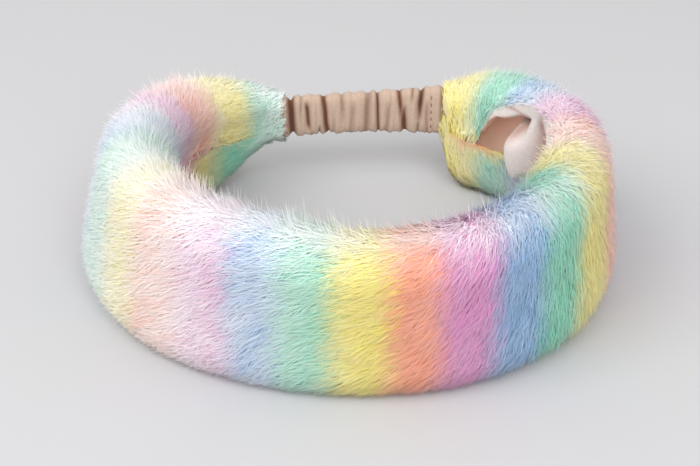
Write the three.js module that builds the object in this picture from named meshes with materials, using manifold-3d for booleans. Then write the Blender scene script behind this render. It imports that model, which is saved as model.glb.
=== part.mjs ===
// Plush headband: a striped fur band, its lining, and a gathered casing drawn up by an elastic strip.
// Millimetres, +Z up. The band stands on its lower edge, with its front towards -Y.
import * as THREE from "three";
import { mergeVertices } from "three/addons/utils/BufferGeometryUtils.js";
import Module from "manifold-3d";

const wasm = await Module();
wasm.setup();

// Where the middle of the finished outline lies in the plan coordinates of the tables below.
const PLAN_MIDDLE = { x: -0.1, y: -17.2 };

// Sections of the fur band, from its left end round the front to its right end.
// x, y: plan position of the section's middle. run: half the straight height of the fabric backing.
// pocket: half the space inside the folded backing. pile: depth of backing and fur together.
// lean: degrees that the top leans inwards. lift: height of the lowest point, pressed flat where negative.
// upper, lower: how far each edge turns in past its roll, short of the full roll where negative.
// cover: how far the fur reaches past the edge of its backing.
const FUR_SECTIONS = rows(
  ["x", "y", "run", "pocket", "pile", "lean", "lift", "upper", "lower", "cover"],
  [
    [-28, 57.5, 4.5, 1.2, 4.3, 0, 18.1, 4.2, 4.2, 0.5],
    [-38, 57, 6.4, 1.2, 5.8, 3, 14.8, 10.5, 1.2, 3],
    [-50, 52, 9.5, 1.2, 9, 7, 6.5, 13, 3.6, 5],
    [-63, 42, 13.5, 1.2, 10.5, 10, 0, 11, 13.4, 7],
    [-75, 22, 16, 1.2, 11, 14, -1, 15.2, 15.2, 8],
    [-81, -5, 17, 1.2, 11, 15, -1, 15, 15, 8],
    [-75, -36, 17, 1.2, 11, 12, -1, 13, 13, 7],
    [-56.5, -64, 17, 1.2, 11, 6, -1, 11, 11, 6],
    [-28, -81, 16.5, 1.2, 11, 2, -1, 10, 10, 6],
    [5, -87, 15, 1.2, 11, 0, -1, 9, 9, 5],
    [38, -80, 16, 1.2, 11, 1, -1, 8, 8, 5],
    [65, -59, 17, 1.2, 11, 4, -1, 3, 7, 4],
    [79, -28, 17, 1.2, 11, 7, -1, -9.7, 5, 3],
    [82, 4, 16.5, 1.2, 11, 8, -1, -13, 6, 3],
    [74, 30, 15.5, 1.2, 10.5, 5, -1, -9.5, 12.5, 4],
    [62, 46, 14.5, 1.2, 10.3, 2, -1, 2, 11.5, 5],
    [51, 54, 12.5, 1.2, 10, 0, -0.5, 11.5, 11, 5],
    [43, 57, 10.5, 1.2, 7.8, 0, 4.5, 9.5, 9.5, 3],
    [38.5, 58, 6.2, 1.2, 4.3, 0, 19.4, 5.6, 5.6, 0.5],
  ],
);
const FUR_STATIONS = 41;
const FUR_POINTS = { turn: 4, roll: 3, face: 1 };
const POCKET_POINTS = { turn: 2, roll: 2, face: 0 };

// Locks of fur, laid like shingles along the nap: down the outer face and towards the left end.
const LOCK_SPACING = { along: 18.5, around: 18 };
const LOCK_LENGTH = 19;
const LOCK_WIDTH = 8.4;
const LOCK_RISE = { waist: 2.4, tip: 1.2 };
const LOCK_ROOT_DEPTH = 3;
const LOCK_LOWEST_ROOT = 4;
const LOCK_END_MARGIN = 9;
const LOCK_EDGE_MARGIN = 0.5;
const NAP_SLANT = 0.4;

// The lining, with its edges tucked behind the turned-in edges of the fur. belly: how far it puffs inwards,
// most at the peak, which is a share of the height from its foot to its top.
// Where the upper edge of the fur stays open, the lining folds over it like a flap. depth: share of the pile
// that the flap covers. open: how far short of the full roll the edge is where the flap has its whole depth.
const LINING_THICKNESS = 1.2;
const LINING_TUCK = 3;
const LINING_STATIONS = { first: 5, last: 35 };
const LINING_CLEARANCE = 4;
const LINING_POINTS = 8;
const LINING_PEAK = 0.75;
const LINING_FULLNESS = 0.7;
const LINING_FLAP = { depth: 0.62, open: 9, gap: 2.8 };
const LINING_PUFFS = rows(
  ["row", "belly"],
  [
    [2, 0],
    [11.7, 0],
    [12.6, 7],
    [13.1, 4.5],
    [13.9, 17],
    [14.4, 0],
    [16, 0],
  ],
);

// The gathered casing at the back, which runs a little way into both ends of the fur band.
// Its height runs from the left end's to the right end's, less the waist in the middle.
const CASING = { left: 16.8, right: 20.2, waist: 1.8, thickness: 6.8, tuck: 6.5, bow: 1.2, corner: 0.62 };
const CASING_BORE = { height: 13.2, thickness: 1.9 };
const CASING_CLEARANCE = 0.4;
const CASING_STATIONS = 48;
const CASING_SIDES = 12;
const CASING_PUFF = { depth: 0.35, pitch: 5.3 };
// How much flatter the casing is pressed where the fur holds it.
const CASING_PRESSED = 0.7;
// Creases of the gathers: place along the casing from the left end of the fur, depth, width and slant.
const GATHERS = rows(
  ["at", "depth", "width", "slant"],
  [
    [-3, 0.8, 1.8, 0],
    [4, 1.5, 1.6, -0.3],
    [10.3, 1.1, 1.5, -0.8],
    [17.3, 1.4, 1.5, -1.2],
    [23.5, 0.6, 1.4, 0.6],
    [31.5, 0.7, 1.6, 1.4],
    [39, 1.1, 1.3, -0.3],
    [44.4, 0.7, 1.4, 0.8],
    [49.4, 1.5, 1.6, 0.6],
    [55.2, 1.3, 1.5, 1.1],
    [60.6, 0.9, 1.3, -0.4],
    [68.5, 0.8, 1.8, 0],
  ],
);

const ELASTIC = { height: 12.6, thickness: 1, beyond: 1.5 };

const COLOURS = { fur: "#e9d3dc", beige: "#cdb09d", lining: "#d8c6bc", elastic: "#efe9e2" };
const QUARTER = Math.PI / 2;

// Turns a list of plain rows into objects with named columns.
function rows(columns, values) {
  return values.map((row) => Object.fromEntries(columns.map((name, i) => [name, row[i]])));
}

// Catmull-Rom value of one column at t, counted in rows, with the end rows carried on straight.
function smooth(table, column, t) {
  const last = table.length - 1;
  const i = Math.min(Math.floor(t), last - 1);
  const f = t - i;
  const value = (k) => {
    if (k < 0) return 2 * table[0][column] - table[1][column];
    if (k > last) return 2 * table[last][column] - table[last - 1][column];
    return table[k][column];
  };
  const [a, b, c, d] = [value(i - 1), value(i), value(i + 1), value(i + 2)];
  return b + 0.5 * f * (c - a + f * (2 * a - 5 * b + 4 * c - d + f * (3 * (b - c) + d - a)));
}

// Straight-line value of a column against another column of the same table.
function linear(table, key, column, at) {
  const next = Math.max(1, table.findIndex((row) => row[key] >= at));
  const [low, high] = [table[next - 1], table[next]];
  return THREE.MathUtils.mapLinear(at, low[key], high[key], low[column], high[column]);
}

// A repeatable scatter between -1 and 1 for a pair of whole numbers.
function scatter(i, j) {
  const wave = Math.sin(i * 12.9898 + j * 78.233) * 43758.5453;
  return 2 * (wave - Math.floor(wave)) - 1;
}

// The fur section at t: the interpolated row, its outward direction and the height of its middle.
function furSection(t) {
  const s = {};
  for (const column of Object.keys(FUR_SECTIONS[0])) s[column] = smooth(FUR_SECTIONS, column, t);
  const step = 0.01;
  const [t0, t1] = [Math.max(0, t - step), Math.min(FUR_SECTIONS.length - 1, t + step)];
  const dx = smooth(FUR_SECTIONS, "x", t1) - smooth(FUR_SECTIONS, "x", t0);
  const dy = smooth(FUR_SECTIONS, "y", t1) - smooth(FUR_SECTIONS, "y", t0);
  s.along = new THREE.Vector3(dx, dy, 0).normalize();
  s.outward = new THREE.Vector3(s.along.y, -s.along.x, 0);
  s.radius = s.pocket + s.pile;
  s.tilt = THREE.MathUtils.degToRad(s.lean);
  s.middle = s.lift + s.run * Math.cos(s.tilt) + s.radius;
  return s;
}

// The place in the table, counted in rows, of one of the even stations along the band.
function rowAt(station) {
  return (station / (FUR_STATIONS - 1)) * (FUR_SECTIONS.length - 1);
}

// A direction of the section plane, out and up, in space.
function direct(s, out, up) {
  const level = out * Math.cos(s.tilt) - up * Math.sin(s.tilt);
  const rise = out * Math.sin(s.tilt) + up * Math.cos(s.tilt);
  return s.outward.clone().multiplyScalar(level).setZ(rise);
}

// A point of the section plane, out and up from its middle, in space.
function place(s, point) {
  return direct(s, point.x, point.y).add(new THREE.Vector3(s.x, s.y, s.middle));
}

// A point of a turned-in edge, from the crest of its roll (share 0) to its end (share 1).
// Its y is counted from the middle of the roll.
function turned(s, radius, edge, share) {
  const arc = edge < 0 ? QUARTER + edge / s.radius : QUARTER;
  const distance = share * (arc * radius + Math.max(edge, 0));
  const angle = Math.min(distance / radius, arc);
  const straight = distance - angle * radius;
  return new THREE.Vector2(-radius * Math.sin(angle), radius * Math.cos(angle) - straight);
}

// A point of the outer quarter of a roll, from its crest (share 0) to the outer face (share 1).
function rolled(radius, share) {
  const angle = share * QUARTER;
  return new THREE.Vector2(radius * Math.sin(angle), radius * Math.cos(angle));
}

// The C-shaped contour at one radius, from the end of the lower edge round the outer face to the upper end.
function contour(s, radius, lower, upper, count) {
  const low = (p) => new THREE.Vector2(p.x, -s.run - p.y);
  const high = (p) => new THREE.Vector2(p.x, s.run + p.y);
  const points = [];
  for (let i = count.turn; i > 0; i--) points.push(low(turned(s, radius, lower, i / count.turn)));
  for (let i = 0; i <= count.roll; i++) points.push(low(rolled(radius, i / count.roll)));
  for (let i = 1; i <= count.face; i++) {
    points.push(new THREE.Vector2(radius, s.run * ((2 * i) / (count.face + 1) - 1)));
  }
  for (let i = count.roll; i >= 0; i--) points.push(high(rolled(radius, i / count.roll)));
  for (let i = 1; i <= count.turn; i++) points.push(high(turned(s, radius, upper, i / count.turn)));
  return points;
}

const furContour = (s) => contour(s, s.radius, s.lower, s.upper, FUR_POINTS);
const pocketContour = (s) => contour(s, s.pocket, s.lower - s.cover, s.upper - s.cover, POCKET_POINTS);

// A closed skin over rings of points, with flat ends cut into triangles as the outlines say.
function skin(rings, firstOutline, lastOutline) {
  const size = rings[0].length;
  const points = rings.flat();
  const index = [];
  for (let k = 0; k + 1 < rings.length; k++) {
    for (let i = 0; i < size; i++) {
      const j = (i + 1) % size;
      const [a, b, c, d] = [k * size + i, k * size + j, (k + 1) * size + j, (k + 1) * size + i];
      index.push(a, b, c, a, c, d);
    }
  }
  const start = points.length - size;
  for (const [p, q, r] of THREE.ShapeUtils.triangulateShape(firstOutline, [])) index.push(r, q, p);
  for (const [p, q, r] of THREE.ShapeUtils.triangulateShape(lastOutline, [])) {
    index.push(start + p, start + q, start + r);
  }
  return new THREE.BufferGeometry().setFromPoints(points).setIndex(index);
}

// A closed geometry as a solid for joining and cutting, turned to face outwards.
function solid(geometry) {
  const bare = geometry.clone();
  bare.deleteAttribute("normal");
  bare.deleteAttribute("uv");
  const merged = mergeVertices(bare, 1e-4);
  const vertProperties = new Float32Array(merged.attributes.position.array);
  const triVerts = new Uint32Array(merged.index.array);
  const made = new wasm.Manifold(new wasm.Mesh({ numProp: 3, vertProperties, triVerts }));
  if (made.volume() > 0) return made;
  return new wasm.Manifold(new wasm.Mesh({ numProp: 3, vertProperties, triVerts: triVerts.reverse() }));
}

// A named mesh from a solid.
function piece(name, made, colour, roughness) {
  const mesh = made.getMesh();
  const geometry = new THREE.BufferGeometry();
  geometry.setAttribute("position", new THREE.BufferAttribute(mesh.vertProperties, 3));
  geometry.setIndex(new THREE.BufferAttribute(mesh.triVerts, 1));
  geometry.computeVertexNormals();
  const material = new THREE.MeshStandardMaterial({ color: colour, roughness, metalness: 0 });
  const node = new THREE.Mesh(geometry, material);
  node.name = name;
  return node;
}

// The folded backing with its even depth of pile, before the locks are added.
function furWall() {
  const rings = [];
  const outlines = [];
  for (let k = 0; k < FUR_STATIONS; k++) {
    const s = furSection(rowAt(k));
    const outline = [...furContour(s), ...pocketContour(s).reverse()];
    outlines.push(outline);
    rings.push(outline.map((p) => place(s, p)));
  }
  return solid(skin(rings, outlines[0], outlines[outlines.length - 1]));
}

// The point of an open outline at a distance from its start, with its tangent there.
function walk(outline, distance) {
  let left = distance;
  for (let i = 1; i < outline.length; i++) {
    const step = outline[i].clone().sub(outline[i - 1]);
    const length = step.length();
    if (left <= length || i === outline.length - 1) {
      const tangent = step.divideScalar(length);
      return { point: outline[i - 1].clone().addScaledVector(tangent, left), tangent };
    }
    left -= length;
  }
}

const lengthOf = (outline) => outline.slice(1).reduce((sum, p, i) => sum + p.distanceTo(outline[i]), 0);

// One lock: a flat bent cone that starts inside the pile and follows the fur to a tip over the next lock.
// onFur gives a place on the fur, with the directions there, at a share of the lock's length.
function lock(onFur, width) {
  const ring = (share, rise, half) => {
    const { point, normal, side } = onFur(share);
    const middle = point.addScaledVector(normal, rise);
    const left = middle.clone().addScaledVector(side, -half);
    const right = middle.clone().addScaledVector(side, half);
    const top = middle.clone().addScaledVector(normal, 0.4 * half);
    const under = middle.clone().addScaledVector(normal, -LOCK_ROOT_DEPTH);
    return [left, top, right, under];
  };
  const root = ring(0, -0.6 * LOCK_ROOT_DEPTH, width);
  const waist = ring(0.45, LOCK_RISE.waist - 0.4 * width, 0.85 * width);
  const end = onFur(1);
  const tip = end.point.addScaledVector(end.normal, LOCK_RISE.tip);
  const sides = root.length;
  const index = [0, 2, 1, 0, 3, 2];
  for (let i = 0; i < sides; i++) {
    const j = (i + 1) % sides;
    index.push(i, j, sides + j, i, sides + j, sides + i);
    index.push(sides + i, sides + j, 2 * sides);
  }
  return solid(new THREE.BufferGeometry().setFromPoints([...root, ...waist, tip]).setIndex(index));
}

// Locks in staggered columns along the band and rows around its fur, left off where the band stands.
function furLocks() {
  const fine = 400;
  const rowsInAll = FUR_SECTIONS.length - 1;
  const path = [];
  for (let k = 0; k <= fine; k++) {
    const t = (k / fine) * rowsInAll;
    path.push(new THREE.Vector2(smooth(FUR_SECTIONS, "x", t), smooth(FUR_SECTIONS, "y", t)));
  }
  const distances = path.map((p, i) => lengthOf(path.slice(0, i + 1)));
  const reach = distances[fine] - 2 * LOCK_END_MARGIN;
  const columns = Math.round(reach / LOCK_SPACING.along);
  const locks = [];
  for (let i = 0; i <= columns; i++) {
    const distance = LOCK_END_MARGIN + (i / columns) * reach;
    const s = furSection((distances.findIndex((d) => d >= distance) / fine) * rowsInAll);
    const outline = furContour(s);
    const girth = lengthOf(outline);
    const size = THREE.MathUtils.clamp(s.pile / 11, 0.6, 1);
    const count = Math.max(4, Math.round(girth / LOCK_SPACING.around));
    for (let j = 0; j < count; j++) {
      const even = (girth * (j + 0.75 + 0.4 * (i % 2) + 0.12 * scatter(i, j))) / (count + 0.2);
      const start = Math.min(even, girth - LOCK_EDGE_MARGIN);
      const length = size * LOCK_LENGTH * (1 + 0.15 * scatter(i + 7, j));
      const slant = NAP_SLANT + 0.25 * scatter(j, i);
      const onFur = (share) => {
        const { point, tangent } = walk(outline, start - share * length);
        const normal = direct(s, tangent.y, -tangent.x);
        const spot = place(s, point).addScaledVector(s.along, -slant * share * length);
        return { point: spot, normal, side: s.along };
      };
      if (onFur(0).point.z > LOCK_LOWEST_ROOT) locks.push(lock(onFur, size * LOCK_WIDTH));
    }
  }
  return locks;
}

// The fur band: wall and locks in one body, pressed flat where it stands.
function furBand() {
  const reach = 300;
  const above = new THREE.BoxGeometry(reach, reach, reach).translate(0, 0, reach / 2);
  const joined = furLocks().reduce((whole, one) => whole.add(one), furWall());
  return joined.intersect(solid(above)).subtract(casingSlot(-1)).subtract(casingSlot(1));
}

// The line of the lining in a section, from its lower edge up and over the open upper edge of the fur.
function liningLine(s, belly) {
  const hidden = (edge) => Math.max(edge - s.cover - LINING_TUCK, 0.4);
  const open = THREE.MathUtils.clamp(-s.upper / LINING_FLAP.open, 0, 1);
  const angle = Math.PI + Math.min(s.upper, 0) / s.radius;
  const drop = (open * LINING_FLAP.gap) / Math.abs(Math.cos(angle));
  const [low, high] = [-s.run + hidden(s.lower), s.run - Math.max(hidden(s.upper), drop)];
  const foot = Math.max(s.lower, 0) + LINING_CLEARANCE - s.run;
  const line = [];
  const fine = 24;
  for (let i = 0; i <= fine; i++) {
    const up = THREE.MathUtils.lerp(low, high, i / fine);
    const share = THREE.MathUtils.clamp((up - foot) / (high - foot), 0, 1);
    const rise = Math.sin(QUARTER * Math.min(share / LINING_PEAK, 1)) ** LINING_FULLNESS;
    const fall = Math.cos(QUARTER * Math.max(0, (share - LINING_PEAK) / (1 - LINING_PEAK)));
    line.push(new THREE.Vector2(-belly * rise * fall, up));
  }
  const across = new THREE.Vector2(Math.cos(angle), Math.sin(angle));
  const clear = new THREE.Vector2(-Math.sin(angle), Math.cos(angle));
  const reach = open * LINING_FLAP.depth * s.pile;
  if (reach > 0.5) {
    const edge = new THREE.Vector2(0, s.run).addScaledVector(clear, LINING_FLAP.gap);
    line.push(edge.addScaledVector(across, s.pocket + reach));
  }
  return line;
}

// The lining sheet: tucked behind both edges of the fur, and puffed inwards where it is slack.
function lining() {
  const rings = [];
  const outlines = [];
  for (let k = LINING_STATIONS.first; k <= LINING_STATIONS.last; k++) {
    const t = rowAt(k);
    const s = furSection(t);
    const line = liningLine(s, linear(LINING_PUFFS, "row", "belly", t));
    const length = lengthOf(line);
    const face = [];
    const back = [];
    for (let i = 0; i < LINING_POINTS; i++) {
      const { point, tangent } = walk(line, (i / (LINING_POINTS - 1)) * length);
      const normal = new THREE.Vector2(tangent.y, -tangent.x);
      face.push(point.clone().addScaledVector(normal, LINING_THICKNESS / 2));
      back.unshift(point.addScaledVector(normal, -LINING_THICKNESS / 2));
    }
    const outline = [...face, ...back];
    outlines.push(outline);
    rings.push(outline.map((p) => place(s, p)));
  }
  return solid(skin(rings, outlines[0], outlines[outlines.length - 1]));
}

const LEFT_END = furSection(0);
const RIGHT_END = furSection(FUR_SECTIONS.length - 1);
const CASING_LENGTH = RIGHT_END.x - LEFT_END.x;

// The straight line between the two ends of the fur, carried on past them and bowed to the back.
function casingMiddle(at) {
  const share = at / CASING_LENGTH;
  const y = THREE.MathUtils.lerp(LEFT_END.y, RIGHT_END.y, share);
  const z = THREE.MathUtils.lerp(LEFT_END.middle, RIGHT_END.middle, share);
  const bow = CASING.bow * Math.max(0, Math.sin(Math.PI * share));
  return new THREE.Vector3(LEFT_END.x + at, y + bow, z);
}

// The casing's height at a place along it.
function casingHeight(at) {
  const share = THREE.MathUtils.clamp(at / CASING_LENGTH, 0, 1);
  return THREE.MathUtils.lerp(CASING.left, CASING.right, share) - CASING.waist * Math.sin(Math.PI * share);
}

// Turns a cosine or sine into that of a flat oval with full corners.
function rounded(value) {
  return Math.sign(value) * Math.abs(value) ** CASING.corner;
}

// A rounded bar along the casing's line between two places.
// half gives its half sizes at a place and an angle.
function alongCasing(from, to, stations, half) {
  const rings = [];
  let outline;
  for (let k = 0; k < stations; k++) {
    const at = THREE.MathUtils.lerp(from, to, k / (stations - 1));
    outline = [];
    for (let i = 0; i < CASING_SIDES; i++) {
      const angle = (i / CASING_SIDES) * 2 * Math.PI;
      const { height, thickness } = half(at, angle);
      const across = thickness * rounded(Math.cos(angle));
      outline.push(new THREE.Vector2(across, height * rounded(Math.sin(angle))));
    }
    const middle = casingMiddle(at);
    rings.push(outline.map((p) => new THREE.Vector3(0, p.x, p.y).add(middle)));
  }
  return solid(skin(rings, outline, outline));
}

// The gathered tube, open at both ends for the elastic strip.
function elasticCasing() {
  const tube = alongCasing(-CASING.tuck, CASING_LENGTH + CASING.tuck, CASING_STATIONS, (at, angle) => {
    let crease = 0;
    for (const fold of GATHERS) {
      const away = (at - fold.at - fold.slant * Math.sin(angle)) / fold.width;
      crease = Math.max(crease, fold.depth * Math.exp(-away * away));
    }
    const puff = CASING_PUFF.depth * Math.sin((2 * Math.PI * at) / CASING_PUFF.pitch);
    const swell = at < 1 || at > CASING_LENGTH - 1 ? -CASING_PRESSED : puff;
    return {
      height: casingHeight(at) / 2 + swell - 0.6 * crease,
      thickness: CASING.thickness / 2 + swell - crease,
    };
  });
  const past = 1;
  const bore = alongCasing(-CASING.tuck - past, CASING_LENGTH + CASING.tuck + past, 9, () => ({
    height: CASING_BORE.height / 2,
    thickness: CASING_BORE.thickness / 2,
  }));
  return tube.subtract(bore);
}

// The slot in one end of the fur band, left or right, for the casing and the end of the elastic strip.
function casingSlot(side) {
  const depth = CASING.tuck + ELASTIC.beyond + CASING_CLEARANCE;
  const mouth = side < 0 ? 2 : CASING_LENGTH - 2;
  const end = side < 0 ? -depth : CASING_LENGTH + depth;
  return alongCasing(mouth, end, 5, () => ({
    height: casingHeight(end) / 2 - CASING_PRESSED + CASING_CLEARANCE,
    thickness: CASING.thickness / 2 - CASING_PRESSED + CASING_CLEARANCE,
  }));
}

// The elastic strip inside the casing, which holds the gathers.
function elasticStrip() {
  const reach = CASING.tuck + ELASTIC.beyond;
  return alongCasing(-reach, CASING_LENGTH + reach, 5, () => ({
    height: ELASTIC.height / 2,
    thickness: ELASTIC.thickness / 2,
  }));
}

const headband = new THREE.Group();
headband.add(piece("fur_band", furBand(), COLOURS.fur, 0.95));
headband.add(piece("lining", lining(), COLOURS.lining, 0.8));
headband.add(piece("elastic_casing", elasticCasing(), COLOURS.beige, 0.85));
headband.add(piece("elastic_strip", elasticStrip(), COLOURS.elastic, 0.7));
headband.position.set(-PLAN_MIDDLE.x, -PLAN_MIDDLE.y, 0);

export default headband;
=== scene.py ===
"""Plush headband: striped fur, its lining and the gathered casing at the back.

The pieces are worked out from short tables of sections, puffs and creases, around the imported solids."""

import math
from types import SimpleNamespace

import bpy
import numpy as np
from bpy.props import FloatProperty, FloatVectorProperty, IntProperty, PointerProperty
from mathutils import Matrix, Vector


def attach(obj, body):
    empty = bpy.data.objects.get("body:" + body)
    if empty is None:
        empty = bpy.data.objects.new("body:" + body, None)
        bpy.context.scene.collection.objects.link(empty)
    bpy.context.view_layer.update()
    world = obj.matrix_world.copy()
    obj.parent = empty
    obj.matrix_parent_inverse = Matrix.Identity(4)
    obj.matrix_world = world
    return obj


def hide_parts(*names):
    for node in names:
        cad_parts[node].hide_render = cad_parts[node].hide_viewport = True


bl_info = {
    "name": "Plush headband",
    "version": (1, 0, 0),
    "blender": (4, 5, 0),
    "location": "View3D > Sidebar > Headband",
    "description": "Builds a striped plush headband with a lining and a gathered elastic casing",
    "category": "Add Mesh",
}

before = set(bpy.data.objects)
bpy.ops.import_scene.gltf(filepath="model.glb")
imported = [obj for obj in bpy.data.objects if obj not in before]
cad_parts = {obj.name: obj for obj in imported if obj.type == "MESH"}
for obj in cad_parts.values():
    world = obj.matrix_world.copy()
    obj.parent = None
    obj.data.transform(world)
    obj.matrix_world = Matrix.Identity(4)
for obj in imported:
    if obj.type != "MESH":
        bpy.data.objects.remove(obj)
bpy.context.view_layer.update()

MM = 0.001
BODY = "root"
BAKE_MAP = "OFBake"
DYES = ("mint", "yellow", "peach", "lilac", "blue")
SEED = 11

# Where each stripe starts on the outer face, in millimetres along the band from its left end, and where
# the last one ends. The fur's ends show at least this margin of the first and last stripes.
STRIPE_STARTS = (
    (0, 17, 42, 66, 83)
    + (107, 132, 149, 166, 184)
    + (199, 214, 230, 245, 261)
    + (277, 292, 315, 338, 366)
    + (389, 410, 442, 465)
)
STRIPES = len(STRIPE_STARTS) - 1
STRIPE_MARGIN = 0.3
# On the crest the stripes at the right lie further on, and on the lip below those at the left: the shifts
# give by how much, against the distance. The crest and the lip come in over these shares of the way to
# the edge.
CREST_SHARES = (0.2, 0.65)
LIP_SHARES = (0.45, 0.65)
SHIFT_AT = (240, 277, 292, 315, 338, 366, 389, 410, 435)
SHIFT = (0, 6, 9, 15, 12, 11, 8, 5, 0)
LIP_SHIFT_AT = (0, 15, 45, 70, 90)
LIP_SHIFT = (0, 8, 26, 12, 0)
# Close to the lower edge of the fur, and near the right end close to the upper edge as well, the stripes
# at the right lie further back.
RIM_SHARES = (0.95, 1.0)
UPPER_RIM_FROM = (410, 418)
RIM_SHIFT_AT = (360, 400, 420, 432)
RIM_SHIFT = (0, 42, 28, 0)

# The middle of the outline in the plan coordinates of the tables, in millimetres.
PLAN_MIDDLE = np.array([-0.1, -17.2, 0.0])

# Sections of the fur band, in millimetres and degrees, from its left end round the front to its right
# end. nap is the lay of the fur on the outer face: degrees from straight down towards the left end.
SECTION_COLUMNS = ("x", "y", "run", "pocket", "pile", "lean", "lift", "upper", "lower", "cover", "nap")
SECTION_ROWS = (
    (-28, 57.5, 4.5, 1.2, 4.3, 0, 18.1, 4.2, 4.2, 0.5, 62),
    (-38, 57, 5.9, 1.2, 5.8, 3, 15.8, 11.7, 0, 3, 58),
    (-50, 52, 8.7, 1.2, 9, 7, 8.1, 12.2, 4.9, 5, 52),
    (-63, 42, 13.5, 1.2, 10.5, 10, 0, 11, 13.4, 7, 48),
    (-75, 22, 16, 1.2, 11, 14, -1, 15.2, 15.2, 8, 45),
    (-81, -5, 17, 1.2, 11, 15, -1, 15, 15, 8, 45),
    (-75, -36, 17, 1.2, 11, 12, -1, 13, 13, 7, 50),
    (-56.5, -64, 17, 1.2, 11, 6, -1, 11, 11, 6, 56),
    (-28, -81, 16.5, 1.2, 11, 2, -1, 10, 10, 6, 62),
    (5, -87, 15, 1.2, 11, 0, -1, 9, 9, 5, 62),
    (38, -80, 16, 1.2, 11, 1, -1, 8, 8, 5, 48),
    (65, -59, 17, 1.2, 11, 4, -1, 3, 7, 4, 24),
    (79, -28, 17, 1.2, 11, 7, -1, -10.5, 5, 3, 8),
    (82, 4, 16.5, 1.2, 11, 8, -1, -13.5, 6, 3, 4),
    (74, 30, 15.5, 1.2, 10.5, 5, -1, -9.5, 12.5, 4, 4),
    (62, 46, 14.5, 1.2, 10.3, 2, -1, 2, 11.5, 5, 8),
    (51, 54, 12.5, 1.2, 10, 0, -0.5, 13, 11, 5, 10),
    (43, 57, 10.5, 1.2, 7.8, 0, 4.5, 10.3, 10.5, 3, 0),
    (38.5, 58, 6.2, 1.2, 4.3, 0, 19.4, 6, 6, 0.5, -10),
)
SECTIONS = {name: np.array(column, float) for name, column in zip(SECTION_COLUMNS, zip(*SECTION_ROWS))}
LAST_ROW = len(SECTION_ROWS) - 1
# How much further the upper edge turns in beside the mouth at the right, against the row of the sections.
MOUTH_AT = (14.2, 14.7, 15.0, 15.3, 15.7, 16.0)
MOUTH_TURN = (0, -1.5, 1, 3, 2.5, 0)
# The depth of pile that has strands of full size, and how far they reach past the lower edge of the fur
# and past its ends.
FULL_PILE = 11.0
EDGE_FRINGE = 2.5
END_FRINGE = 2.0
# How pale the tips of the fur are, against the distance along the band: most at the left side. The pale
# tips are the fur's own, and part of their paleness, most at the left side, is a painted highlight of the
# window light.
# Then how much paler they are on the crest, and on the lower face beside the mouth at the right: painted
# highlights where the light falls.
TIP_PALE_AND_HIGHLIGHT_AT = (0, 20, 60, 100, 170, 195, 215, 235, 300, 340, 435)
TIP_PALE_AND_HIGHLIGHT = (0.95, 0.55, 0.66, 0.82, 0.9, 0.7, 0.4, 0.3, 0.32, 0.6, 0.45)
CREST_HIGHLIGHT_AT = (150, 215, 280, 320, 400)
CREST_HIGHLIGHT = (0.14, 0.4, 0.4, 0.15, 0.1)
RIGHT_FACE_HIGHLIGHT_AT = (350, 375, 398, 412)
RIGHT_FACE_HIGHLIGHT = (0, 0.2, 0.2, 0.04)
# Where the lower face is shaded at the left, and its lowest strip at the right, by the share of the way
# round and by the distance, and how much less pale the fur is there.
LOWER_FACE = (0.5, 0.65)
LEFT_SHADE_AT = (20, 34, 60, 75)
LEFT_SHADE = (0, 0.7, 0.7, 0)
LOWEST_STRIP = (0.9, 0.95)
RIGHT_SHADE_FROM = (385, 397)
SHADED = 0.6
# Share of the loose strands on the crest that stand up as wisps, and of the others, against the distance
# along the band. Then how far they rise, and how pale they are at least.
WISPS_AT = (40, 90, 190, 240, 432)
WISPS = (0.3, 1.0, 1.0, 0.4, 0.2)
WISPS_IN_LOCKS = (0.0, 0.25, 0.25, 0.0, 0.0)
WISP_RISE = (3.2, 4.2, 4.2, 3.2, 2.6)
WISP_FADE = (0.7, 0.95, 0.95, 0.5, 0.0)

# How far the slack lining puffs inwards, in millimetres, against the row of the section table. It puffs
# most at the peak, a share of the height from its foot to its top. full is the part of the puff left at
# its top.
PUFF_COLUMNS = ("row", "depth", "full")
PUFF_ROWS = (
    (2, 0, 1),
    (11.7, 0, 1),
    (12.6, 5, 1),
    (13.0, 8, 1),
    (13.3, 3, 1),
    (13.6, 12, 0.8),
    (13.7, 15, 0.15),
    (13.85, 18, 0.03),
    (14.05, 14, 0),
    (14.35, 0, 0),
    (16, 0, 0),
)
PUFFS = {name: np.array(column, float) for name, column in zip(PUFF_COLUMNS, zip(*PUFF_ROWS))}
PUFF_PEAK = 0.56
# The power of its swell, how far the deepest puff sags over the lower edge of the fur, and how deep that
# puff is. Then the rows that the lining covers, its tuck behind the turned-in edges, its least gap to the
# roll and its clearance over the lower edge.
PUFF_FULLNESS = 0.6
PUFF_SAG = 11.0
PUFF_DEEPEST = 18.0
LINING_ROWS = (2.25, 16.7)
LINING_TUCK = 3.0
ROLL_GAP = 0.4
LINING_CLEARANCE = 1.5
# The flap of the lining that hangs from the open upper edge: share of the pile up to its seam, how far
# short of the full roll the edge is where the flap is whole, and its middle row. Then the row of its
# right end, over how many rows it shuts and tapers there, and the least part of its hang. Then its
# distance from the cut edge, how far it hangs down, how far its hem stands out, and how far the lining
# behind it goes up past the hem.
FLAP_SEAM = 0.95
FLAP_OPEN = 8.0
FLAP_MIDDLE = 14
FLAP_END = 15.2
FLAP_SHUT = 0.3
FLAP_TAPER = 0.8
FLAP_LEAST = 0.2
FLAP_GAP = 0.45
FLAP_HANG = 5.5
HEM_OUT = 1.06
HEM_LAP = 1.0
# Painted shade in the folds of the lining in the mouth. row: where the fold lies, by the section table.
# slant:
# how far on it is at the top of the flap. width, taper: in rows, and how much narrower it is at its top.
# dark:
# how strong its painted shade is.
FOLD_COLUMNS = ("row", "slant", "width", "taper", "dark")
FOLD_ROWS = {
    "pleat": (13.8, 0.6, 0.07, 0.0, 0.65),
    "groove": (13.33, 0.0, 0.2, 0.1, 0.85),
    "corner": (13.92, 0.0, 0.2, 0.0, 0.8),
}
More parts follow.
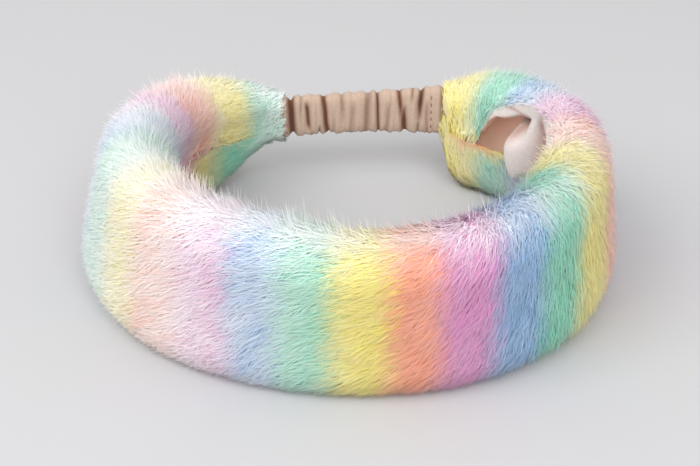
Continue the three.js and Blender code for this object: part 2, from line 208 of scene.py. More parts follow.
# The shares of the lining's width over which the painted shade of the corner comes in, the rows over which
# the painted warm bounce light in the hollow beside it does, the part of the flap over which the tints
# change, and how soon the painted shade of the groove is at its darkest.
CORNER_SHARES = (0.44, 0.56)
PAINTED_BOUNCE_ROWS = (14.1, 14.4)
FLAP_TINT = 0.25
GROOVE_RISE = 2.2
# Ripples of the slack lining: size, length, slant and start of each wave. Then how far they stand out for
# a millimetre of puff, up to this puff, and how often the puff and the sections are evened out.
RIPPLE_WAVES = ((1.0, 1.9, 7, 0), (0.6, 0.9, -9, 1))
RIPPLE = 0.1
RIPPLE_PUFF = 2
PUFF_PASSES = 6
LINE_PASSES = 2

# Creases of the gathered casing, in millimetres from the left end of the fur. at, depth, width, slant: as
# cut in the cloth. low, high: the part of the height that it crosses, -1 to 1. It fades at both its ends
# over this much of that height.
CREASE_COLUMNS = ("at", "depth", "width", "slant", "low", "high")
CREASE_ROWS = (
    (-2.5, 0.8, 1.4, 0.0, -2, 2),
    (4.0, 2.3, 1.5, -0.3, -2, 2),
    (7.6, 0.5, 0.9, 0.5, -0.2, 2),
    (10.8, 1.5, 1.1, -0.9, -0.7, 0.9),
    (11.6, 0.8, 0.7, -1.3, -2, -0.4),
    (15.6, 1.1, 0.7, 0.2, -2, -0.2),
    (17.9, 1.9, 1.2, -0.9, -2, 2),
    (21.4, 0.5, 0.9, 0.4, -2, 0.2),
    (25.2, 0.6, 1.1, -0.5, -0.3, 2),
    (29.0, 0.5, 1.2, 0.9, -2, 0.6),
    (34.9, 0.8, 1.6, 0.7, -2, 2),
    (39.4, 1.5, 0.9, -0.3, -2, 2),
    (43.6, 0.7, 1.0, 0.8, -2, 0.5),
    (48.8, 1.6, 1.1, -0.8, -0.3, 2),
    (50.0, 2.1, 1.3, -0.4, -2, 0.3),
    (53.2, 0.9, 0.8, 0.4, 0.2, 2),
    (56.5, 2.0, 1.2, 0.8, -0.3, 2),
    (56.0, 0.9, 0.8, 0.2, -2, 0.0),
    (59.4, 0.7, 0.9, -0.3, -2, 0.5),
    (66.0, 0.8, 1.4, 0.0, -2, 2),
)
CREASE_FADE = 0.5
# Soft waves of the cloth between the creases: size, turns for a millimetre, slant, and sway from front to
# back.
CASING_WAVES = ((0.3, 1.19, 0.8, 0), (0.12, 3.1, -1.7, 2))
# How far the casing is tucked into the fur at both ends, how far it bows to the back, and the power that
# fills the corners of its oval. Then over how long its ends are pressed by the fur, how far, and how much
# of a crease's depth cuts into its height.
CASING_TUCK = 4.0
CASING_BOW = 1.2
CASING_CORNER = 0.62
PRESSED_OVER = 1.5
PRESSED_BY = 0.7
CREASE_IN_HEIGHT = 0.6


def ramp(value, start, end):
    """0 up to the start, 1 from the end on and even between, falling where the end is before the start."""
    return np.clip((value - start) / (end - start), 0, 1)


def bell(value, width):
    """1 at zero, falling to both sides as the exponential of minus the square of value over width."""
    return np.exp(-((value / width) ** 2))


def eased(values, passes):
    """Evens out values in place, from row to row: half of each and a quarter of both its neighbours."""
    for _ in range(passes):
        values[1:-1] = (values[:-2] + 2 * values[1:-1] + values[2:]) / 4


def catmull(column, t):
    """Uniform Catmull-Rom curve through a column of the sections, at t rows, with straight ends."""
    c = SECTIONS[column]
    c = np.concatenate(([2 * c[0] - c[1]], c, [2 * c[-1] - c[-2]]))
    i = np.clip(np.floor(t).astype(int), 0, LAST_ROW - 1)
    f = t - i
    p, q, r, s = c[i], c[i + 1], c[i + 2], c[i + 3]
    return q + 0.5 * f * (r - p + f * (2 * p - 5 * q + 4 * r - s + f * (3 * (q - r) + s - p)))


# The band's middle line in fine steps, and the part of a row over which its direction is taken.
FINE_COUNT = 1601
SLOPE_STEP = 0.01
FINE_ROWS = np.linspace(0, LAST_ROW, FINE_COUNT)
FINE_STEPS = np.hypot(np.diff(catmull("x", FINE_ROWS)), np.diff(catmull("y", FINE_ROWS)))
FINE_DISTANCE = np.concatenate(([0.0], np.cumsum(FINE_STEPS)))
BAND_LENGTH = float(FINE_DISTANCE[-1])


def row_at(distance):
    """The row of the section table at a distance along the band."""
    return np.interp(distance, FINE_DISTANCE, FINE_ROWS)


def section(t):
    """The sections at t, with their directions along and out, roll radius, tilt and middle height."""
    s = {name: catmull(name, t) for name in SECTION_COLUMNS}
    s["upper"] = s["upper"] + np.interp(t, MOUTH_AT, MOUTH_TURN)
    t0, t1 = np.clip(t - SLOPE_STEP, 0, LAST_ROW), np.clip(t + SLOPE_STEP, 0, LAST_ROW)
    dx, dy = catmull("x", t1) - catmull("x", t0), catmull("y", t1) - catmull("y", t0)
    length = np.hypot(dx, dy)
    zero = np.zeros_like(dx)
    s["along"] = np.stack((dx / length, dy / length, zero), -1)
    s["out"] = np.stack((dy / length, -dx / length, zero), -1)
    s["radius"] = s["pocket"] + s["pile"]
    s["tilt"] = np.radians(s["lean"])
    s["middle"] = s["lift"] + s["run"] * np.cos(s["tilt"]) + s["radius"]
    return s


def direct(s, out, up):
    """A direction of the section planes in space: tilted by the lean, then level along out and up."""
    level = out * np.cos(s["tilt"]) - up * np.sin(s["tilt"])
    rise = out * np.sin(s["tilt"]) + up * np.cos(s["tilt"])
    way = s["out"] * level[..., None]
    way[..., 2] += rise
    return way


def place(s, out, up):
    """A point of the section planes in space: the section's middle plus the tilted offset."""
    return np.stack((s["x"], s["y"], s["middle"]), -1) + direct(s, out, up)


def reach(s):
    """How far the fur goes round the section from the middle of its outer face, down and up."""
    half = s["run"] + math.pi * s["radius"]
    return half + s["lower"], half + s["upper"]


def around(s, a, radius):
    """Out and up of a point a millimetres round the fold from the middle of the outer face, at a radius.

    It is straight up the face, then a half turn round the roll, then straight back along the edge.
    The direction out of the fold there comes after them."""
    m, way = np.abs(a), np.sign(a)
    angle = np.clip((m - s["run"]) / s["radius"], 0, math.pi)
    back = np.maximum(m - s["run"] - math.pi * s["radius"], 0)
    out = radius * np.cos(angle)
    up = way * (np.minimum(m, s["run"]) + radius * np.sin(angle) - back)
    return out, up, np.cos(angle), way * np.sin(angle)


def on_fur(distance, share, height):
    """Points, outward normals and directions along the band of places on the fur.

    distance runs along the band. share goes from -1 at the lower edge over 0 at the middle of the outer
    face to 1 at the upper edge, and past them along the same line. height is over the even surface."""
    inside = np.clip(distance, 0, BAND_LENGTH)
    s = section(row_at(inside))
    low, high = reach(s)
    out, up, n_out, n_up = around(s, share * np.where(share < 0, low, high), s["radius"] + height)
    points = place(s, out, up) + s["along"] * (distance - inside)[..., None]
    return points, direct(s, n_out, n_up), s["along"]


def unit(v):
    """Vectors scaled to length one."""
    return v / np.maximum(np.linalg.norm(v, axis=-1, keepdims=True), 1e-9)


def dye_place(distance, share):
    """The dye at a place on the fur, from 0 to 1 over all the stripes, each stripe an even part of it."""
    crest, lip = ramp(share, *CREST_SHARES), ramp(-share, *LIP_SHARES)
    rim = ramp(np.abs(share), *RIM_SHARES) * np.where(share < 0, 1, ramp(distance, *UPPER_RIM_FROM))
    at = distance - crest * np.interp(distance, SHIFT_AT, SHIFT)
    at = at - lip * np.interp(distance, LIP_SHIFT_AT, LIP_SHIFT)
    at = at + rim * np.interp(distance, RIM_SHIFT_AT, RIM_SHIFT)
    stripe = np.interp(at, STRIPE_STARTS, np.arange(STRIPES + 1))
    return np.clip(stripe, STRIPE_MARGIN, STRIPES - STRIPE_MARGIN) / STRIPES


def grid_quads(rows, columns, wrap):
    """Faces of a grid of points, row by row, joined round its columns where wrap is true."""
    k = np.arange(rows - 1)[:, None] * columns
    j = np.arange(columns if wrap else columns - 1)[None, :]
    n = (j + 1) % columns
    return np.stack((k + j, k + n, k + n + columns, k + j + columns), -1).reshape(-1, 4)


def new_piece(name, points, faces, uv=None, normals=None, values=None, ends=()):
    """A mesh object from points in millimetres, faces of one size, and closing faces for its ends.

    uv is given for each point, normals turn the shading, and values are named numbers for each point."""
    mesh = bpy.data.meshes.new(name)
    co = ((points - PLAN_MIDDLE) * MM).astype(np.float32)
    size = faces.shape[1]
    corners = np.concatenate([faces.ravel(), *[np.asarray(end) for end in ends]]).astype(np.int32)
    counts = np.concatenate([np.full(len(faces), size), [len(end) for end in ends]]).astype(np.int32)
    mesh.vertices.add(len(co))
    mesh.vertices.foreach_set("co", co.ravel())
    mesh.loops.add(len(corners))
    mesh.loops.foreach_set("vertex_index", corners)
    mesh.polygons.add(len(counts))
    mesh.polygons.foreach_set("loop_start", np.concatenate(([0], np.cumsum(counts)[:-1])).astype(np.int32))
    mesh.polygons.foreach_set("use_smooth", np.ones(len(counts), bool))
    mesh.update(calc_edges=True)
    if uv is not None:
        layer = mesh.uv_layers.new(name=BAKE_MAP)
        layer.uv.foreach_set("vector", uv[corners].astype(np.float32).ravel())
    for label, numbers in (values or {}).items():
        layer = mesh.attributes.new(label, "FLOAT", "POINT")
        layer.data.foreach_set("value", numbers.astype(np.float32))
    if normals is not None:
        mesh.normals_split_custom_set_from_vertices(normals.astype(np.float32))
    piece = bpy.data.objects.new(name, mesh)
    bpy.context.collection.objects.link(piece)
    return piece


def settle(piece, node, finish):
    """Sets a finished piece on the body, in place of its solid and its material."""
    piece.data.materials.append(finish)
    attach(piece, BODY)
    if node:
        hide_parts(node)


class Signal:
    """A value socket that takes arithmetic: each operation adds one Math node to its material."""

    def __init__(self, finish, socket):
        self.finish, self.socket = finish, socket

    def math(self, operation, *others):
        inputs = {0: self, **{i + 1: other for i, other in enumerate(others)}}
        return self.finish.node("ShaderNodeMath", {"operation": operation}, inputs)

    def __add__(self, other):
        return self.math("ADD", other)

    def __mul__(self, other):
        return self.math("MULTIPLY", other)

    def __sub__(self, other):
        return self.math("SUBTRACT", other)

    def __rsub__(self, other):
        return self.finish.node("ShaderNodeMath", {"operation": "SUBTRACT"}, {0: other, 1: self})

    __radd__ = __add__
    __rmul__ = __mul__


class Finish:
    """A node material with one shader, built by expressions."""

    def __init__(self, name, **shader):
        self.material = bpy.data.materials.new(name)
        self.material.use_nodes = True
        self.tree = self.material.node_tree
        self.shader = self.tree.nodes["Principled BSDF"]
        self.connect(self.shader, shader)

    def connect(self, node, inputs):
        """Sets a node's sockets, by name or number, to values or links."""
        for key, value in inputs.items():
            name = key.replace("_", " ") if isinstance(key, str) else key
            socket = node.inputs[name]
            if isinstance(value, Signal):
                self.tree.links.new(value.socket, socket)
            else:
                socket.default_value = value

    def node(self, kind, settings=None, inputs=None, output=0):
        """A node of a kind: its settings, then its sockets. Ramp stops are pairs of place and colour."""
        made = self.tree.nodes.new(kind)
        for key, value in (settings or {}).items():
            if key == "stops":
                elements = made.color_ramp.elements
                for _ in range(len(value) - len(elements)):
                    elements.new(0.5)
                for element, (at, colour) in zip(elements, value):
                    element.position, element.color = at, (*colour, 1.0)
            else:
                setattr(made, key, value)
        self.connect(made, inputs or {})
        return Signal(self, made.outputs[output])

    def mix(self, factor, first, second):
        """A colour between two colours."""
        inputs = {"Factor": factor, 6: first, 7: second}
        return self.node("ShaderNodeMix", {"data_type": "RGBA"}, inputs, 2)

    def wear(self, **inputs):
        """Links what varies over the surface to the shader, and gives the material back."""
        self.connect(self.shader, inputs)
        return self.material


def linear(colour):
    """A display colour, 0 to 255, as linear light, by the usual curve of displays."""
    c = np.asarray(colour, float) / 255
    return tuple(np.where(c <= 0.04045, c / 12.92, ((c + 0.055) / 1.055) ** 2.4))


def colour_property(label, text, colour):
    """A colour that a user may change, with its default given as a display colour."""
    return FloatVectorProperty(
        name=label, description=text, subtype="COLOR", size=3, min=0.0, max=1.0, default=linear(colour)
    )


def size_property(label, text, millimetres):
    """A length that a user may change, with its default given in millimetres."""
    return FloatProperty(
        name=label, description=text, subtype="DISTANCE", unit="LENGTH", min=0.0, default=millimetres * MM
    )


class HeadbandFur(bpy.types.PropertyGroup):
    """Sizes and dyes of the fur."""

    locks: IntProperty(name="Locks", description="Number of locks of fur", min=100, default=9000)
    strands: IntProperty(name="Strands", description="Number of strands in each lock", min=4, default=15)
    length: size_property("Length", "Length of a strand along its lay", 12.0)
    width: size_property("Width", "Width of a strand at its middle", 0.4)
    spread: size_property("Spread", "Radius of a lock at its roots", 2.3)
    proud: size_property("Proud", "How far the tips stand over the even surface", 1.8)
    mint: colour_property("Mint", "Dye near the roots of the mint stripes", (70, 204, 160))
    yellow: colour_property("Yellow", "Dye near the roots of the yellow stripes", (246, 226, 40))
    peach: colour_property("Peach", "Dye near the roots of the peach stripes", (254, 138, 78))
    lilac: colour_property("Lilac", "Dye near the roots of the lilac stripes", (220, 105, 185))
    blue: colour_property("Blue", "Dye near the roots of the blue stripes", (96, 160, 213))
    paleness: FloatProperty(
        name="Paleness",
        description="How pale the palest tips are",
        subtype="FACTOR",
        min=0.1,
        max=1.0,
        default=0.9,
    )


class HeadbandCloth(bpy.types.PropertyGroup):
    """Sizes and colours of the lining, the casing and the elastic."""

    lining: colour_property("Lining", "Colour of the lining", (228, 219, 214))
    # Painted light: the warm bounce light in the shaded hollow of the lining, given as a colour.
    hollow: colour_property("Hollow", "Colour of the lining deep in the fold", (255, 212, 196))
    # Painted shade: the colour that the lining takes down in its folds, where shade falls.
    fold: colour_property("Fold", "Colour of the lining down in its folds", (176, 128, 112))
    casing: colour_property("Casing", "Colour of the gathered casing", (190, 165, 146))
    # Painted shade: the colour that the casing takes deep in its gathers, where shade falls.
    crease: colour_property("Crease", "Colour deep in the gathers", (112, 68, 42))
    elastic: colour_property("Elastic", "Colour of the elastic strip", (240, 236, 228))
    thread: colour_property("Thread", "Colour of the stitches", (150, 112, 100))
    thickness: size_property("Thickness", "Thickness of the cloth", 0.7)
    weave: size_property("Weave", "Distance between the threads of the cloth", 0.45)
    casing_left: size_property("Casing left", "Height of the gathered casing at its left end", 16.8)
    casing_right: size_property("Casing right", "Height of the gathered casing at its right end", 20.2)
    casing_waist: size_property("Casing waist", "How much lower the gathered casing is in the middle", 1.8)
    casing_depth: size_property("Casing depth", "Thickness of the gathered casing", 6.8)


class HeadbandStage(bpy.types.PropertyGroup):
    """The floor, the light and the camera."""

    floor: colour_property("Floor", "Colour of the floor", (191, 190, 191))
    key: FloatProperty(
        name="Key", description="Power of the window light", subtype="POWER", unit="POWER", default=30.0
    )
    fill: FloatProperty(name="Fill", description="Strength of the light all round", default=0.72)
    lens: FloatProperty(name="Lens", description="Focal length", subtype="DISTANCE_CAMERA", default=66.86)
    pitch: FloatProperty(
        name="Pitch", description="Camera's angle down", subtype="ANGLE", default=math.radians(29.93)
    )


# The colour that the dyes fade to, and the part of each stripe that has its dye unmixed.
FADED = np.array((1.0, 0.985, 0.97))
UNMIXED = 0.52


def dye_stops(fur, pale):
    """Ramp stops over one cycle of the dyes: a level middle for each dye and soft steps between them."""
    colours = [np.array(getattr(fur, dye)) for dye in DYES]
    colours = [c + pale * (FADED - c) for c in colours]
    level = UNMIXED / len(DYES)
    stops = []
    for k, colour in enumerate(colours):
        middle = (k + 0.5) / len(DYES)
        stops += [(middle - level / 2, colour), (middle + level / 2, colour)]
    between = (colours[0] + colours[-1]) / 2
    return [(0.0, between), *stops, (1.0, between)]


def striped(finish, fur, pale):
    """The dye at the map's first number, which runs from 0 to 1 along the band."""
    place_on = finish.node("ShaderNodeUVMap", {"uv_map": BAKE_MAP})
    along = finish.node("ShaderNodeSeparateXYZ", None, {0: place_on}, 0)
    root = finish.node("ShaderNodeSeparateXYZ", None, {0: place_on}, 1)
    cycle = (along * (STRIPES / len(DYES))).math("FRACT")
    deep = finish.node("ShaderNodeValToRGB", {"stops": dye_stops(fur, 0.0)}, {0: cycle})
    tips = finish.node("ShaderNodeValToRGB", {"stops": dye_stops(fur, pale)}, {0: cycle})
    return finish.mix(root, deep, tips)


# The backing. How far short of the edges it ends, and the turn of the upper edge over which that comes
# in. The part of the pile that it fills, the part of that at the ends of the band, and how far from them
# it would go from empty to full. Its height over the floor. How pale it is outside, how much paler by the
# upper edge and how near that, and how pale it is inside and at what share of the way round it is dyed.
EDGE_BARE = 2.5
BARE_TURN = (-1, 3)
FILLED = 0.93
FILLED_AT_END = 0.35
FILLED_OVER = 12.0
BACKING_FLOOR = 0.3
OUTSIDE_PALE = 0.3
EDGE_PALE = 0.5
EDGE_PALE_OVER = 14.0
INSIDE_PALE = 0.4
INSIDE_SHARE = 0.8


class HEADBAND_OT_backing(bpy.types.Operator):
    """Builds the folded backing of the fur, which carries the roots of the pile."""

    bl_idname = "headband.backing"
    bl_label = "Fur backing"

    def execute(self, context):
        fur = context.scene.headband_fur
        stations, outer, inner = 230, 54, 22
        s = section(np.linspace(0, LAST_ROW, stations)[:, None])
        low, high = reach(s)
        bare = EDGE_BARE * np.clip(s["pile"] / FULL_PILE, 0, 1)
        low, high = low - bare, high - bare * ramp(s["upper"], *BARE_TURN)
        a = -low + (low + high) * np.linspace(0, 1, outer)[None, :]
        distance = np.interp(np.linspace(0, LAST_ROW, stations), FINE_ROWS, FINE_DISTANCE)[:, None]
        from_end = np.minimum(distance, BAND_LENGTH - distance)
        filled = FILLED * np.clip(FILLED_AT_END + from_end / FILLED_OVER, 0, 1)
        out, up, _, _ = around(s, a, s["pocket"] + filled * s["pile"])
        fold = s["run"] + math.pi * s["radius"]
        tuck_low, tuck_high = fold + s["lower"] - s["cover"], fold + s["upper"] - s["cover"]
        b = tuck_high - (tuck_low + tuck_high) * np.linspace(0, 1, inner)[None, :]
        out_in, up_in, _, _ = around(s, b, s["pocket"])
        points = place(s, np.concatenate((out, out_in), 1), np.concatenate((up, up_in), 1))
        points[..., 2] = np.maximum(points[..., 2], BACKING_FLOOR)
        columns = outer + inner
        quads = grid_quads(stations, columns, True)[:, ::-1]
        first = np.arange(columns)
        ends = (first, first[::-1] + (stations - 1) * columns)
        share = np.concatenate((a / np.where(a < 0, low, high), np.broadcast_to(INSIDE_SHARE, b.shape)), 1)
        outside_pale = OUTSIDE_PALE + EDGE_PALE * ramp(high - a, EDGE_PALE_OVER, 0)
        root_paleness = np.concatenate((outside_pale, np.broadcast_to(INSIDE_PALE, b.shape)), 1)
        uv = np.stack((dye_place(distance, share), root_paleness), -1)
        backing = new_piece("fur_backing", points.reshape(-1, 3), quads, uv=uv.reshape(-1, 2), ends=ends)
        finish = Finish("fur_roots", Roughness=0.95, Specular_IOR_Level=0.1)
        settle(backing, "fur_band", finish.wear(Base_Color=striped(finish, fur, fur.paleness)))
        return {"FINISHED"}


# Two irrational steps, for an even scatter.
SCATTER_STEPS = (0.7548776662466927, 0.5698402909980532)


def lock_centres(count):
    """Evenly scattered lock centres: distance along the band and share round it.

    The steps fill the unit square evenly. The first is stretched so that each area gets its share."""
    low, high = reach(section(FINE_ROWS))
    girth = low + high
    area = np.concatenate(([0.0], np.cumsum(FINE_STEPS * (girth[1:] + girth[:-1]) / 2)))
    i = np.arange(count)
    distance = np.interp((0.5 + i * SCATTER_STEPS[0]) % 1, area / area[-1], FINE_DISTANCE)
    low, high = reach(section(row_at(distance)))
    a = -low + (low + high) * ((0.5 + i * SCATTER_STEPS[1]) % 1)
    return distance, a / np.where(a < 0, low, high)


# Scales along and around the fur of four drifts, of the lay, the tufts, the edges of the stripes and the
# partings, and where the last starts.
LAY_DRIFT = (1, 60)
TUFT_DRIFT = (2.1, 40)
STRIPE_DRIFT = (1.7, 78)
PARTING_DRIFT = (2.6, 180, 9)


def wander(distance, share, along, around, start=0):
    """A smooth drift between -1 and 1 over the fur: a long bent wave and two shorter slanted ones."""
    d, a = distance * along + start, share * around
    return (
        0.5 * np.sin(d / 17.0 + 0.6 * np.sin(a / 21.0))
        + 0.3 * np.sin(d / 7.3 - a / 15.0 + 1.7)
        + 0.2 * np.sin(d / 4.1 + a / 6.7 + 0.4)
    )


# How locks and strands vary. Turns are in degrees, lengths in millimetres, and the rest are shares. The
# last is the most deviations from the mean that a length or a tone may have.
LOCK_SHIFT = 0.6
LOCK_TURN = 13
LOCK_DRIFT = 20
LOCK_STRETCH = 0.18
LOOSE = 0.24
LOOSE_TURN = 18
STRAND_TURN = 10
STRAND_STRETCH = 0.15
LEAST_SIZE = 0.4
MOST = 2
# By the upper edge: how near it strands hang over it, how many do and how long they are, with other
# values where the edge is open, and the part of their length that is even. Strands by an open edge are
# shorter and turn more.
HANG_NEAR = 6
HANG = 0.52
HANG_OPEN = 0.42
HANG_LENGTH = 0.4
HANG_LENGTH_OPEN = 0.22
HANG_EVEN = 0.75
EDGE_NEAR = 7
EDGE_TURN = 30
EDGE_SHORTER = 0.6
# The crest: its place round the roll, in radii, and its width. Then the wisps there: how dense the tufts
# are, the length of a wisp, and how its rise is made up of an even part, a part by the tuft and a part by
# chance.
CREST_TURN = 1.75
CREST_WIDTH = 7
TUFTED = (0.5, 0.7)
WISP_LENGTH = 0.4
RISE_PARTS = (0.3, 0.5, 0.4)
# How far the tips of a lock draw together, the depth of the roots in the pile and how much less it is by
# the edge, how high the middle of a strand is at a lock's side, how much higher on its top, and how much
# middles and tips vary. Loose strands have a crown of their own and are lifted, more so on the crest: the
# lifts are pairs of a mean and a spread.
GATHERED = 0.52
GATHER_SPREAD = 0.1
ROOT_DEPTH = 0.42
ROOT_RAISED = 0.8
SIDE_HEIGHT = -0.8
TOP_RISE = 0.9
LOOSE_CROWN = 0.3
MIDDLE_SPREAD = 0.4
TIP_SPREAD = 0.55
LOOSE_LIFT = (0.5, 0.8)
CREST_LIFT = (1.6, 1.0)
# Where the ring of a strand is on its way. Its gap to the floor and its width, each as a least value and
# what chance adds. How far the shading turns to the outside of the lock and of the strand.
HALF_WAY = 0.45
FLOOR_GAP = (0.15, 0.7)
WIDTHS = (0.75, 0.5)
LOOSE_WIDTH = 0.75
LOCK_SHADING = 0.18
RING_SHADING = 0.22
TIP_SHADING = 0.15
# Dyes: the part of a strand's run that shows its stripe, how much the edges of the stripes wander and
# vary, and how much the tone varies with the lock, the strand and the partings.
SHOWN = 0.65
STRIPE_WANDER = 1.3
STRIPE_SPREAD = 1.0
LOCK_TONE = 0.08
STRAND_TONE = 0.08
PARTING_TONE = 0.16
# Paleness against that of the tips, for root, middle and tip: the even part, and what the crest's painted
# highlight, tone and open edge add.
PALE_ROWS = np.array(((0.3, 1.4, 0.5, 0.5), (0.6, 0.9, 1, 0.3), (1, 0, 1, 0)))
# Margins of the bake map, and how far the sides of a strand are set apart in it.
MAP_END = 0.001
MAP_MARGIN = 0.02
MAP_APART = np.array((0.0, -0.0007, 0.0, 0.0007, 0.0))


def scattered(fur, rng):
    """Where the strands grow: at random in round locks, which are scattered evenly over the fur.

    k holds an array for each trait of the strands, and the next three functions go on from it."""
    k = SimpleNamespace()
    lock_distance, lock_share = lock_centres(fur.locks)
    lock_distance = lock_distance + rng.normal(0, LOCK_SHIFT, fur.locks)
    turn = rng.normal(0, LOCK_TURN, fur.locks) + LOCK_DRIFT * wander(lock_distance, lock_share, *LAY_DRIFT)
    stretch = 1 + LOCK_STRETCH * rng.normal(0, 1, fur.locks).clip(-MOST, MOST)
    shade = rng.normal(0, 1, fur.locks).clip(-MOST, MOST)

    pick = np.repeat(np.arange(fur.locks), fur.strands)
    k.count = len(pick)
    k.lock_distance, k.lock_share = lock_distance[pick], lock_share[pick]
    k.turn, k.stretch, k.shade = turn[pick], stretch[pick], shade[pick]
    k.loose = rng.random(k.count) < LOOSE
    k.radius = np.sqrt(rng.random(k.count))
    bearing = rng.random(k.count) * 2 * math.pi
    k.spread = fur.spread / MM
    k.distance = np.clip(k.lock_distance + k.spread * k.radius * np.cos(bearing), 0, BAND_LENGTH)
    k.s = section(row_at(k.distance))
    low, k.high = reach(k.s)
    k.length_round = np.where(k.lock_share < 0, low, k.high)
    k.share = np.clip(k.lock_share + k.spread * k.radius * np.sin(bearing) / k.length_round, -1, 1)
    k.off_along, k.off_share = k.distance - k.lock_distance, k.share - k.lock_share
    return k


def lay(fur, rng, k):
    """How the strands lie: how far each runs along and round the fur, and the heights of its points.

    They run along the nap. Some near the upper edge hang over it, and some on the crest stand up."""
    count, s, loose = k.count, k.s, k.loose
    k.size = np.clip(s["pile"] / FULL_PILE, LEAST_SIZE, 1)
    open_edge = s["upper"] < 0
    may_hang = rng.random(count) < np.where(open_edge, HANG_OPEN, HANG)
    over_edge = (k.share > 1 - HANG_NEAR / k.high) & may_hang
    by_edge = ramp(k.high * (1 - k.share), EDGE_NEAR, 0)
    k.by_open_edge = by_edge * open_edge
    astray = rng.normal(0, 1, count) * (STRAND_TURN + EDGE_TURN * k.by_open_edge)
    nap = np.radians(s["nap"] + k.turn + astray + loose * rng.normal(0, LOOSE_TURN, count))
    nap = nap + np.where(over_edge, math.pi, 0)
    uneven = k.stretch * (1 + STRAND_STRETCH * rng.normal(0, 1, count).clip(-MOST, MOST))
    hung = np.where(open_edge, HANG_LENGTH_OPEN, HANG_LENGTH) * (HANG_EVEN + (1 - HANG_EVEN) * uneven)
    length = np.where(over_edge, hung, (1 - EDGE_SHORTER * k.by_open_edge) * uneven)
    length = k.size * fur.length / MM * length

    k.crest = bell(k.share * k.length_round - s["run"] - CREST_TURN * s["radius"], CREST_WIDTH)
    tufted = np.clip(TUFTED[0] + TUFTED[1] * wander(k.distance, k.share, *TUFT_DRIFT), 0, 1)
    wispy = np.interp(k.distance, WISPS_AT, WISPS)
    wispy = np.where(loose, wispy, np.interp(k.distance, WISPS_AT, WISPS_IN_LOCKS))
    k.wisp = rng.random(count) < k.crest * tufted * wispy
    length = length * np.where(k.wisp, WISP_LENGTH, 1)

    run_along, run_share = -length * np.sin(nap), -length * np.cos(nap) / k.length_round
    past_edge = -1 - EDGE_FRINGE / k.length_round - k.share
    k.run_share = np.maximum(run_share, np.minimum(past_edge, 0))
    past_end = END_FRINGE * rng.random(count)
    k.run_along = np.clip(run_along, -past_end - k.distance, BAND_LENGTH + past_end - k.distance)
    k.gather = np.where(loose | over_edge, 1.0, GATHERED) + GATHER_SPREAD * rng.normal(0, 1, count)
    crown = np.where(loose, LOOSE_CROWN, 1 - k.radius**2)
    k.root_height = -ROOT_DEPTH * s["pile"] * (1 - ROOT_RAISED * by_edge)
    k.middle_height = k.size * (SIDE_HEIGHT + TOP_RISE * crown + MIDDLE_SPREAD * rng.normal(0, 1, count))
    lifted = loose * (rng.normal(*LOOSE_LIFT, count) + k.crest * rng.normal(*CREST_LIFT, count))
    even, by_tuft, by_chance = RISE_PARTS
    rise = k.wisp * np.interp(k.distance, WISPS_AT, WISP_RISE)
    lifted = lifted + rise * (even + by_tuft * tufted + by_chance * rng.random(count))
    k.tip_height = k.size * (fur.proud / MM + TIP_SPREAD * rng.normal(0, 1, count) + lifted)


def spindles(fur, rng, k):
    """Points and shading normals of the strands: each has a root point, a ring of three and a tip point.

    The strands of a lock draw together towards their tips. The normals are those of the fur's even
    surface, turned to the outside of the lock, so that each lock is shaded as one tuft."""
    draw = 1 - HALF_WAY * (1 - k.gather)
    root, root_normal, _ = on_fur(k.distance, k.share, k.root_height)
    middle_at = k.lock_distance + k.off_along * draw + HALF_WAY * k.run_along
    middle_share = k.lock_share + k.off_share * draw + HALF_WAY * k.run_share
    middle, middle_normal, along = on_fur(middle_at, middle_share, k.middle_height)
    tip_at = k.lock_distance + k.off_along * k.gather + k.run_along
    tip_share = k.lock_share + k.off_share * k.gather + k.run_share
    tip, tip_normal, _ = on_fur(tip_at, tip_share, k.tip_height)
    floor = FLOOR_GAP[0] + FLOOR_GAP[1] * rng.random(k.count)
    for points in (root, middle, tip):
        points[:, 2] = np.maximum(points[:, 2], floor)

    way = unit(tip - root)
    side = unit(np.cross(way, middle_normal))
    rise = np.cross(side, way)
    uneven = WIDTHS[0] + WIDTHS[1] * rng.random(k.count)
    width = fur.width / MM / 2 * np.where(k.loose, LOOSE_WIDTH, 1.0) * uneven * np.sqrt(k.size)
    roll = rng.random(k.count) * 2 * math.pi
    ring = []
    for corner in range(3):
        angle = roll + corner * 2 * math.pi / 3
        ring.append(rise * np.cos(angle)[:, None] + side * np.sin(angle)[:, None])
    points = np.stack((root, *[middle + r * width[:, None] for r in ring], tip), 1)

    across = np.cross(along, middle_normal)
    lock_side = (k.off_along[:, None] * along + (k.off_share * k.length_round)[:, None] * across) / k.spread
    soft = middle_normal + LOCK_SHADING * lock_side
    sides = [soft + RING_SHADING * r for r in ring]
    return points, unit(np.stack((root_normal, *sides, tip_normal + TIP_SHADING * lock_side), 1))


